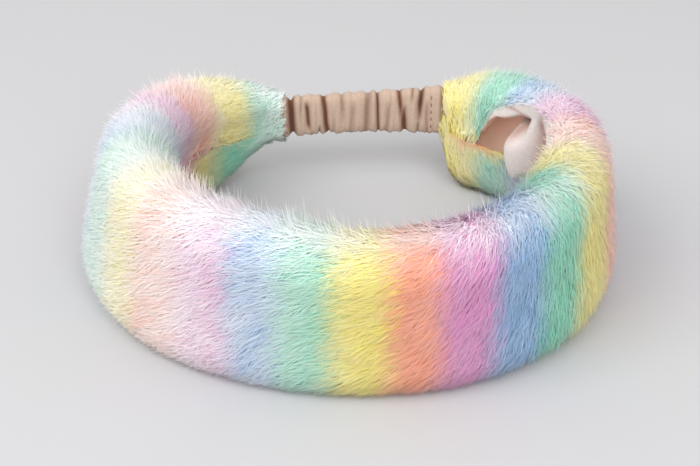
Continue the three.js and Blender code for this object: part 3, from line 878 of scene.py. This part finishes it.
def strand_dyes(fur, rng, k):
    """Map places of the strands' points, by stripe and by paleness, and the number of each strand's dye."""
    edge_drift = STRIPE_WANDER * wander(k.distance, k.share, *STRIPE_DRIFT)
    dye_at = k.distance + SHOWN * k.run_along + edge_drift + rng.normal(0, STRIPE_SPREAD, k.count)
    first = np.clip(dye_place(dye_at, k.share + SHOWN * k.run_share), MAP_END, 1 - MAP_END)
    parted = wander(k.distance, k.share, *PARTING_DRIFT)
    tone = LOCK_TONE * k.shade + STRAND_TONE * rng.normal(0, 1, k.count) + PARTING_TONE * parted
    lower_face = ramp(-k.share, *LOWER_FACE)
    left_shade = lower_face * np.interp(k.distance, LEFT_SHADE_AT, LEFT_SHADE)
    right_shade = ramp(-k.share, *LOWEST_STRIP) * ramp(k.distance, *RIGHT_SHADE_FROM)
    # Painted highlight: the tips are made paler on the lower face beside the mouth at the right, and on the
    # crest.
    right_face_highlight = lower_face * np.interp(k.distance, RIGHT_FACE_HIGHLIGHT_AT, RIGHT_FACE_HIGHLIGHT)
    crest_highlight = np.interp(dye_at, CREST_HIGHLIGHT_AT, CREST_HIGHLIGHT) * k.crest
    # The fur's own pale tips, with a painted highlight where the window light falls, most at the left side.
    pale_and_highlit = np.interp(dye_at, TIP_PALE_AND_HIGHLIGHT_AT, TIP_PALE_AND_HIGHLIGHT) + crest_highlight + right_face_highlight
    pale_and_highlit = np.maximum(pale_and_highlit, k.wisp * np.interp(k.distance, WISPS_AT, WISP_FADE))
    # Painted shade: the fur is less pale on the shaded lower face at the left and on the lowest strip at
    # the right.
    pale_highlit_and_shaded = pale_and_highlit * (1 - SHADED * np.maximum(left_shade, right_shade)) / fur.paleness
    causes = np.stack((np.ones(k.count), crest_highlight, tone, k.by_open_edge))
    at_root, at_middle, at_tip = PALE_ROWS @ causes
    second = pale_highlit_and_shaded[:, None] * np.stack((at_root, at_middle, at_middle, at_middle, at_tip), 1)
    second = np.clip(MAP_MARGIN + (1 - 2 * MAP_MARGIN) * second, 0, 1)
    stripe = np.minimum((first * STRIPES).astype(int), STRIPES - 1) % len(DYES)
    return np.stack((first[:, None] + MAP_APART, second), -1), stripe


# Faces of a strand: its ring of three points, joined to the tip and to the root.
STRAND_POINTS = 5
SPINDLE = np.array(((1, 2, 4), (2, 3, 4), (3, 1, 4), (2, 1, 0), (3, 2, 0), (1, 3, 0)))


class HEADBAND_OT_pile(bpy.types.Operator):
    """Builds the pile of the fur, one piece for each dye."""

    bl_idname = "headband.pile"
    bl_label = "Fur pile"

    def execute(self, context):
        fur = context.scene.headband_fur
        rng = np.random.default_rng(SEED)
        k = scattered(fur, rng)
        lay(fur, rng, k)
        points, normals = spindles(fur, rng, k)
        uv, stripe = strand_dyes(fur, rng, k)
        finish = Finish(
            "fur_pile", Roughness=0.8, Specular_IOR_Level=0.2, Sheen_Weight=0.25, Sheen_Roughness=0.5
        )
        material = finish.wear(Base_Color=striped(finish, fur, fur.paleness))
        for number, dye in enumerate(DYES):
            mine = stripe == number
            count = int(mine.sum())
            faces = (np.arange(count)[:, None, None] * STRAND_POINTS + SPINDLE).reshape(-1, 3)
            piece = new_piece(
                f"fur_{dye}",
                points[mine].reshape(-1, 3),
                faces,
                uv=uv[mine].reshape(-1, 2),
                normals=normals[mine].reshape(-1, 3),
            )
            settle(piece, "fur_band", material)
        return {"FINISHED"}


# The cloth: how strong the bump of its weave is and how deep, in metres, and the size and range of its
# slubs.
WEAVE_STRENGTH = 0.5
WEAVE_DEPTH = 0.00012
SLUB_SCALE = 900.0
SLUB_DIM = 0.86
SLUB_PALE = 1.12


def woven(finish, across, up, pitch):
    """The bump of a plain weave: the product of two waves across the map's directions, one thread apart."""
    turns = math.pi / pitch
    threads = (across * turns).math("SINE") * (up * turns).math("SINE")
    inputs = {"Strength": WEAVE_STRENGTH, "Distance": WEAVE_DEPTH, "Height": threads}
    return finish.node("ShaderNodeBump", None, inputs)


def cloth_map(finish):
    """The two numbers of a cloth piece's map, which are lengths in metres."""
    spot = finish.node("ShaderNodeUVMap", {"uv_map": "cloth"})
    return [finish.node("ShaderNodeSeparateXYZ", None, {0: spot}, k) for k in (0, 1)]


def cloth_finish(name, colour, cloth, tints=()):
    """Matt plain-woven cloth: a colour with faint slubs, tinted by named numbers, and the weave's bump."""
    finish = Finish(name, Roughness=0.85, Specular_IOR_Level=0.25, Sheen_Weight=0.15)
    across, up = cloth_map(finish)
    spot = finish.node("ShaderNodeTexCoord", None, None, 3)
    slub = finish.node("ShaderNodeTexNoise", None, {"Vector": spot, "Scale": SLUB_SCALE, "Detail": 2.0})
    pale = tuple(min(1.0, SLUB_PALE * c) for c in colour)
    dim = tuple(SLUB_DIM * c for c in colour)
    base = finish.mix(slub, (*dim, 1.0), (*pale, 1.0))
    for share, tint in tints:
        amount = finish.node("ShaderNodeAttribute", {"attribute_name": share}, None, 2)
        base = finish.mix(amount, base, (*tint, 1.0))
    return finish.wear(Base_Color=base, Normal=woven(finish, across, up, cloth.weave))


def cloth_layer(piece, uv):
    """Adds the map in metres that the weave follows, given for each point."""
    mesh = piece.data
    corners = np.empty(len(mesh.loops), np.int32)
    mesh.loops.foreach_get("vertex_index", corners)
    layer = mesh.uv_layers.new(name="cloth")
    layer.uv.foreach_set("vector", (uv[corners] * MM).astype(np.float32).ravel())


def thicken(piece, thickness):
    """Gives a single sheet its thickness, half to each side."""
    wall = piece.modifiers.new("cloth_thickness", "SOLIDIFY")
    wall.thickness, wall.offset = thickness, 0.0


def lining_line(t, s, belly, full, share):
    """Out and up of the lining in its sections, at a share of the way from its lower edge to its upper one.
    Then its whole width, and how far up the flap the place is.

    It goes up the pocket, then across under the open edge of the fur, then up the flap to its seam. In
    the pocket its belly swells as a power of a quarter sine up to the peak and sags there as a half sine.
    Above the peak it falls as a quarter cosine, except for the part that stays full."""
    low = -s["run"] + np.maximum(s["lower"] - s["cover"] - LINING_TUCK, ROLL_GAP)
    open_edge = np.clip(-s["upper"] / FLAP_OPEN, 0, 1)
    open_edge = open_edge**2 * (3 - 2 * open_edge)
    left, to_end = t < FLAP_MIDDLE, FLAP_END - t
    wide_open = np.where(left, open_edge, ramp(to_end, -FLAP_SHUT, 0))
    hang = FLAP_HANG * np.where(left, open_edge, np.clip(to_end / FLAP_TAPER, FLAP_LEAST, 1) * wide_open)
    angle = math.pi + np.minimum(s["upper"], 0) / s["radius"]
    seam = s["pocket"] + wide_open * FLAP_SEAM * s["pile"]
    seam_out = seam * np.cos(angle) - FLAP_GAP * np.sin(angle)
    seam_up = s["run"] + seam * np.sin(angle) + FLAP_GAP * np.cos(angle) - np.maximum(s["upper"], 0)
    hem_out, hem_up = HEM_OUT * seam_out, seam_up - hang
    shut = s["run"] - np.maximum(s["upper"] - s["cover"] - LINING_TUCK, ROLL_GAP)
    high = shut + wide_open * (np.minimum(hem_up + HEM_LAP, shut) - shut)
    pocket, ceiling, flap = high - low, wide_open * np.hypot(hem_out, hem_up - high), hang
    along = share * (pocket + ceiling + flap)
    a = np.minimum(along, pocket)
    b = np.clip((along - pocket) / np.maximum(ceiling, 1e-6), 0, 1) * (wide_open > 0)
    c = np.clip((along - pocket - ceiling) / np.maximum(flap, 1e-6), 0, 1) * (wide_open > 0)
    up = low + a
    foot = np.maximum(s["lower"], 0) + LINING_CLEARANCE - s["run"]
    risen = np.clip((up - foot) / (high - foot), 0, 1)
    below = np.minimum(risen / PUFF_PEAK, 1)
    fall = np.cos(math.pi / 2 * np.maximum(0, (risen - PUFF_PEAK) / (1 - PUFF_PEAK)))
    puff = belly * np.sin(math.pi / 2 * below) ** PUFF_FULLNESS * (full + (1 - full) * fall)
    up = up - PUFF_SAG * (belly / PUFF_DEEPEST) ** 2 * np.sin(math.pi * below)
    out = -(1 - b) * puff + b * hem_out + c * (seam_out - hem_out)
    return out, up + b * (hem_up - high) + c * (seam_up - hem_up), pocket + ceiling + flap, c


def painted_fold_shade(name, t, share, on_flap):
    """How dark the painted shade in a fold of the lining is: a bell across the fold, which may slant and
    taper.
    """
    f = dict(zip(FOLD_COLUMNS, FOLD_ROWS[name]))
    return f["dark"] * bell(t - f["row"] - f["slant"] * on_flap, f["width"] - f["taper"] * share)


class HEADBAND_OT_lining(bpy.types.Operator):
    """Builds the lining, tucked behind the turned-in edges, and slack at the right with a flap there."""

    bl_idname = "headband.lining"
    bl_label = "Lining"

    def execute(self, context):
        cloth = context.scene.headband_cloth
        stations, heights = 300, 49
        t = np.linspace(*LINING_ROWS, stations)[:, None]
        share = np.linspace(0, 1, heights)[None, :]
        s = section(t)
        belly, full = np.interp(t, PUFFS["row"], PUFFS["depth"]), np.interp(t, PUFFS["row"], PUFFS["full"])
        eased(belly, PUFF_PASSES)
        distance = np.interp(t, FINE_ROWS, FINE_DISTANCE)
        out, up, width, on_flap = lining_line(t, s, belly, full, share)
        ripple = 0
        for size, length, slant, start in RIPPLE_WAVES:
            ripple = ripple + size * np.sin(distance / length + slant * share + start)
        out = out - RIPPLE * ripple * np.minimum(belly, RIPPLE_PUFF) * np.sin(math.pi * share)
        eased(out.T, LINE_PASSES)
        eased(up.T, LINE_PASSES)
        points = place(s, out, up)
        flap = ramp(on_flap, 0, FLAP_TINT)
        # Painted warm bounce light: the lining in the hollow of the mouth takes the pink colour of the
        # bounce light.
        hollow = ramp(t, *PAINTED_BOUNCE_ROWS) * (1 - flap)
        # Painted shade down in the pleat, the groove and the corner of the mouth.
        pleat = painted_fold_shade("pleat", t, share, on_flap) * flap
        in_groove = np.clip(GROOVE_RISE * np.sin(math.pi * share), 0, 1)
        groove = painted_fold_shade("groove", t, share, on_flap) * in_groove
        corner = painted_fold_shade("corner", t, share, on_flap) * ramp(share, *CORNER_SHARES) * (1 - flap)
        fold = np.clip(pleat + corner + groove, 0, 1)
        piece = new_piece(
            "lining_cloth",
            points.reshape(-1, 3),
            grid_quads(stations, heights, False),
            values={"hollow": np.broadcast_to(hollow, fold.shape).ravel(), "fold": fold.ravel()},
        )
        cloth_layer(piece, np.stack(np.broadcast_arrays(distance, share * width), -1).reshape(-1, 2))
        thicken(piece, cloth.thickness)
        tints = (("hollow", tuple(cloth.hollow)), ("fold", tuple(cloth.fold)))
        finish = cloth_finish("lining_weave", tuple(cloth.lining), cloth, tints)
        settle(piece, "lining", finish)
        area = float(np.sum(np.diff(distance.ravel()) * width.ravel()[1:])) * MM * MM
        return {"FINISHED"}


LEFT_END, RIGHT_END = section(np.array([0.0])), section(np.array([float(LAST_ROW)]))
CASING_LENGTH = float(RIGHT_END["x"][0] - LEFT_END["x"][0])


def casing_middle(at):
    """The casing's middle line: straight between the fur's two ends, bowed a little to the back."""
    share = at / CASING_LENGTH
    bow = CASING_BOW * np.maximum(0, np.sin(math.pi * share))
    y = LEFT_END["y"] + (RIGHT_END["y"] - LEFT_END["y"]) * share + bow
    z = LEFT_END["middle"] + (RIGHT_END["middle"] - LEFT_END["middle"]) * share
    return LEFT_END["x"] + at, y, z


def full_corners(value):
    """A cosine or sine made into that of a flat oval with full corners."""
    return np.sign(value) * np.abs(value) ** CASING_CORNER


def crease_depth(at, height):
    """How deep the gathers cut at a place: the deepest crease there, each a bell along a slanted line."""
    depth = np.zeros(np.broadcast(at, height).shape)
    for row in CREASE_ROWS:
        crease = dict(zip(CREASE_COLUMNS, row))
        low, high = crease["low"], crease["high"]
        cut = crease["depth"] * bell(at - crease["at"] - crease["slant"] * height, crease["width"])
        fade = ramp(height, low, low + CREASE_FADE) * ramp(height, high, high - CREASE_FADE)
        depth = np.maximum(depth, cut * fade)
    return depth


def casing_height(at, cloth):
    """The casing's height: evenly from its left end's to its right end's, less a half wave of waist."""
    share = np.clip(at / CASING_LENGTH, 0, 1)
    even = cloth.casing_left + (cloth.casing_right - cloth.casing_left) * share
    return (even - cloth.casing_waist * np.sin(math.pi * share)) / MM


def casing_surface(at, angle, cloth):
    """Points of the gathered tube: a flat oval along the middle line, cut by creases, with soft waves."""
    height, thickness = casing_height(at, cloth), cloth.casing_depth / MM
    up = np.sin(angle)
    crease = crease_depth(at, up)
    puff = 0
    for size, turns, slant, sway in CASING_WAVES:
        puff = puff + size * np.sin(at * turns + slant * up + sway * np.cos(angle))
    pressed = ramp(at, PRESSED_OVER, 0) + ramp(at, CASING_LENGTH - PRESSED_OVER, CASING_LENGTH)
    swell = puff * (1 - pressed) - PRESSED_BY * pressed
    x, y, z = casing_middle(at)
    points = np.stack(
        np.broadcast_arrays(
            x,
            y + (thickness / 2 + swell - crease) * full_corners(np.cos(angle)),
            z + (height / 2 + swell - CREASE_IN_HEIGHT * crease) * full_corners(up),
        ),
        -1,
    )
    return points, crease


# The depth of crease from which its painted shade is whole, how soon that is reached, and the gather of the
# casing's weave.
CREASE_SHADE_DEPTH = 1.3
CREASE_POWER = 1.1
WEAVE_GATHER = 1.4


class HEADBAND_OT_casing(bpy.types.Operator):
    """Builds the gathered casing that joins the two ends of the fur."""

    bl_idname = "headband.casing"
    bl_label = "Gathered casing"

    def execute(self, context):
        cloth = context.scene.headband_cloth
        stations, sides = 240, 60
        at = np.linspace(-CASING_TUCK, CASING_LENGTH + CASING_TUCK, stations)[:, None]
        angle = np.linspace(0, 2 * math.pi, sides, endpoint=False)[None, :]
        points, crease = casing_surface(at, angle, cloth)
        # Painted shade: the casing is tinted towards the crease colour by the depth of each crease.
        share = np.clip(crease / CREASE_SHADE_DEPTH, 0, 1) ** CREASE_POWER
        quads = grid_quads(stations, sides, True)
        piece = new_piece("casing_cloth", points.reshape(-1, 3), quads, values={"crease": share.ravel()})
        girth = 2 * (cloth.casing_left + cloth.casing_depth) / MM
        round_girth = angle * girth / (2 * math.pi)
        cloth_layer(piece, np.stack(np.broadcast_arrays(at * WEAVE_GATHER, round_girth), -1).reshape(-1, 2))
        thicken(piece, cloth.thickness)
        tints = (("crease", tuple(cloth.crease)),)
        finish = cloth_finish("casing_weave", tuple(cloth.casing), cloth, tints)
        settle(piece, "elastic_casing", finish)
        return {"FINISHED"}


# Half the width and thickness of the elastic, how far it goes past the casing's tucks, and its ribs.
ELASTIC_HALF_WIDTH = 6.3
ELASTIC_HALF_THICKNESS = 0.42
ELASTIC_PAST = 3
RIB_DEPTH = 0.07
RIB_PITCH = 1.6


class HEADBAND_OT_elastic(bpy.types.Operator):
    """Builds the elastic strip inside the casing, with its lengthways ribs."""

    bl_idname = "headband.elastic"
    bl_label = "Elastic strip"

    def execute(self, context):
        cloth = context.scene.headband_cloth
        stations, sides = 90, 64
        past = CASING_TUCK + ELASTIC_PAST
        at = np.linspace(-past, CASING_LENGTH + past, stations)[:, None]
        angle = np.linspace(0, 2 * math.pi, sides, endpoint=False)[None, :]
        x, y, z = casing_middle(at)
        up = ELASTIC_HALF_WIDTH * full_corners(np.sin(angle))
        rib = RIB_DEPTH * np.cos(up * 2 * math.pi / RIB_PITCH)
        across = (ELASTIC_HALF_THICKNESS + rib) * full_corners(np.cos(angle))
        points = np.stack(np.broadcast_arrays(x, y + across, z + up), -1)
        first = np.arange(sides)
        ends = (first[::-1], first + (stations - 1) * sides)
        quads = grid_quads(stations, sides, True)
        piece = new_piece("elastic_ribbed", points.reshape(-1, 3), quads, ends=ends)
        cloth_layer(piece, np.stack(np.broadcast_arrays(at, up), -1).reshape(-1, 2))
        finish = cloth_finish("elastic_braid", tuple(cloth.elastic), cloth)
        settle(piece, "elastic_strip", finish)
        return {"FINISHED"}


# Where the two rows of stitches are along the casing, and half the height that they cover. The pitch,
# length and radius of a stitch, its rings and sides, how far it arches and lies sunk, and how thin its
# ends are.
STITCH_ROWS = (2.0, CASING_LENGTH - 5.3)
STITCH_REACH = 7.0
STITCH_PITCH = 3.2
STITCH_LENGTH = 2.2
STITCH_RADIUS = 0.3
STITCH_RINGS = 9
STITCH_SIDES = 8
STITCH_ARCH = 0.55
STITCH_SUNK = 0.1
STITCH_END = 0.04


def stitch(at, side, start, cloth):
    """Points of one stitch: a thin tube with rounded ends, arched over the casing as a half sine."""
    share = np.linspace(0, 1, STITCH_RINGS)[:, None]
    up = (start + STITCH_LENGTH * share) / (casing_height(at, cloth) / 2)
    turn = np.arcsin(np.clip(np.sign(up) * np.abs(up) ** (1 / CASING_CORNER), -1, 1))
    angle = turn if side > 0 else math.pi - turn
    spine, _ = casing_surface(np.full_like(share, at), angle, cloth)
    x, y, z = spine[..., 0], spine[..., 1], spine[..., 2]
    y = y + side * (STITCH_ARCH * np.sin(math.pi * share) - STITCH_SUNK)
    ring = np.linspace(0, 2 * math.pi, STITCH_SIDES, endpoint=False)[None, :]
    thin = STITCH_RADIUS * np.sqrt(np.maximum(STITCH_END, 1 - (2 * share - 1) ** 4))
    tube = np.broadcast_arrays(x + thin * np.cos(ring), y + thin * np.sin(ring), z)
    return np.stack(tube, -1).reshape(-1, 3)


class HEADBAND_OT_stitches(bpy.types.Operator):
    """Builds the two rows of stitches that hold the elastic at the ends of the casing."""

    bl_idname = "headband.stitches"
    bl_label = "Stitches"

    def execute(self, context):
        cloth = context.scene.headband_cloth
        points, faces, ends, base = [], [], [], 0
        quads = grid_quads(STITCH_RINGS, STITCH_SIDES, True)
        for at in STITCH_ROWS:
            for side in (-1, 1):
                for start in np.arange(-STITCH_REACH, STITCH_REACH, STITCH_PITCH):
                    points.append(stitch(at, side, start, cloth))
                    faces.append(quads + base)
                    first = np.arange(STITCH_SIDES) + base
                    ends += [first[::-1], first + (STITCH_RINGS - 1) * STITCH_SIDES]
                    base += len(points[-1])
        points = np.concatenate(points)
        piece = new_piece("casing_stitches", points, np.concatenate(faces), ends=ends)
        cloth_layer(piece, points[:, [0, 2]])
        settle(piece, None, cloth_finish("stitch_thread", tuple(cloth.thread), cloth))
        return {"FINISHED"}


# The stage. Sizes and places are in metres, the camera's place in the millimetres of the tables. A light
# has a name, its power against that of the window, and its place.
FLOOR_HALF = 3.0
FLOOR_DIM = 0.97
LIGHTS = (
    ("window", 1.0, (-1.3, -0.9, 1.7)),
    ("bounce", 1.25, (0.3, -1.7, 1.5)),
)
LIGHT_AIM = (0, 0, 0.03)
LIGHT_SIZE = 1.6
LIGHT_COLOUR = (0.95, 0.97, 1.0)
ROOM_COLOUR = (0.97, 0.96, 0.95, 1.0)
CAMERA_PLACE = np.array((0.0, -430.8, 253.8))
SENSOR_WIDTH = 36.0
CAMERA_RANGE = (0.01, 20.0)


class HEADBAND_OT_stage(bpy.types.Operator):
    """Sets the floor, the light and the camera."""

    bl_idname = "headband.stage"
    bl_label = "Stage"

    def execute(self, context):
        stage = context.scene.headband_stage
        scene = context.scene
        half = FLOOR_HALF
        corners = [(-half, -half, 0), (half, -half, 0), (half, half, 0), (-half, half, 0)]
        floor = bpy.data.meshes.new("floor")
        floor.from_pydata(corners, [], [(0, 1, 2, 3)])
        ground = bpy.data.objects.new("floor", floor)
        scene.collection.objects.link(ground)
        finish = Finish("floor_plaster", Roughness=0.9, Specular_IOR_Level=0.2)
        spot = finish.node("ShaderNodeTexCoord", None, None, 3)
        cloud = finish.node("ShaderNodeTexNoise", None, {"Vector": spot, "Scale": 9.0, "Detail": 3.0})
        pale = tuple(stage.floor)
        dim = tuple(FLOOR_DIM * c for c in pale)
        floor.materials.append(finish.wear(Base_Color=finish.mix(cloud, (*dim, 1.0), (*pale, 1.0))))

        for name, power, spot_at in LIGHTS:
            light = bpy.data.lights.new(name, "AREA")
            light.energy, light.size, light.color = power * stage.key, LIGHT_SIZE, LIGHT_COLOUR
            lamp = bpy.data.objects.new(name, light)
            lamp.location = spot_at
            lamp.rotation_euler = (Vector(LIGHT_AIM) - Vector(spot_at)).to_track_quat("-Z", "Y").to_euler()
            scene.collection.objects.link(lamp)

        world = bpy.data.worlds.new("studio")
        world.use_nodes = True
        room = world.node_tree.nodes["Background"]
        room.inputs["Color"].default_value = ROOM_COLOUR
        room.inputs["Strength"].default_value = stage.fill
        scene.world = world
        scene.view_settings.view_transform = "Standard"

        lens = bpy.data.cameras.new("photo")
        lens.lens, lens.sensor_width = stage.lens, SENSOR_WIDTH
        lens.clip_start, lens.clip_end = CAMERA_RANGE
        camera = bpy.data.objects.new("photo", lens)
        camera.location = (CAMERA_PLACE - PLAN_MIDDLE) * MM
        camera.rotation_euler = (math.pi / 2 - stage.pitch, 0.0, 0.0)
        scene.collection.objects.link(camera)
        scene.camera = camera
        return {"FINISHED"}


STEPS = (
    HEADBAND_OT_stage,
    HEADBAND_OT_backing,
    HEADBAND_OT_pile,
    HEADBAND_OT_lining,
    HEADBAND_OT_elastic,
    HEADBAND_OT_casing,
    HEADBAND_OT_stitches,
)
GROUPS = {"headband_fur": HeadbandFur, "headband_cloth": HeadbandCloth, "headband_stage": HeadbandStage}


class HEADBAND_PT_panel(bpy.types.Panel):
    """Lists the headband's settings and its building steps."""

    bl_label = "Plush headband"
    bl_idname = "HEADBAND_PT_panel"
    bl_space_type = "VIEW_3D"
    bl_region_type = "UI"
    bl_category = "Headband"

    def draw(self, context):
        for name, group in GROUPS.items():
            box = self.layout.box()
            for key in group.__annotations__:
                box.prop(getattr(context.scene, name), key)
        for step in STEPS:
            self.layout.operator(step.bl_idname)


def register():
    """Makes the settings, steps and panel known to Blender."""
    for kind in (*GROUPS.values(), *STEPS, HEADBAND_PT_panel):
        bpy.utils.register_class(kind)
    for name, group in GROUPS.items():
        setattr(bpy.types.Scene, name, PointerProperty(type=group))


def unregister():
    """Takes the settings, steps and panel away again."""
    for name in GROUPS:
        delattr(bpy.types.Scene, name)
    for kind in reversed((*GROUPS.values(), *STEPS, HEADBAND_PT_panel)):
        bpy.utils.unregister_class(kind)


def main():
    """Builds every piece in order."""
    register()
    for step in STEPS:
        group, action = step.bl_idname.split(".")
        getattr(getattr(bpy.ops, group), action)()


if __name__ == "__main__":
    main()
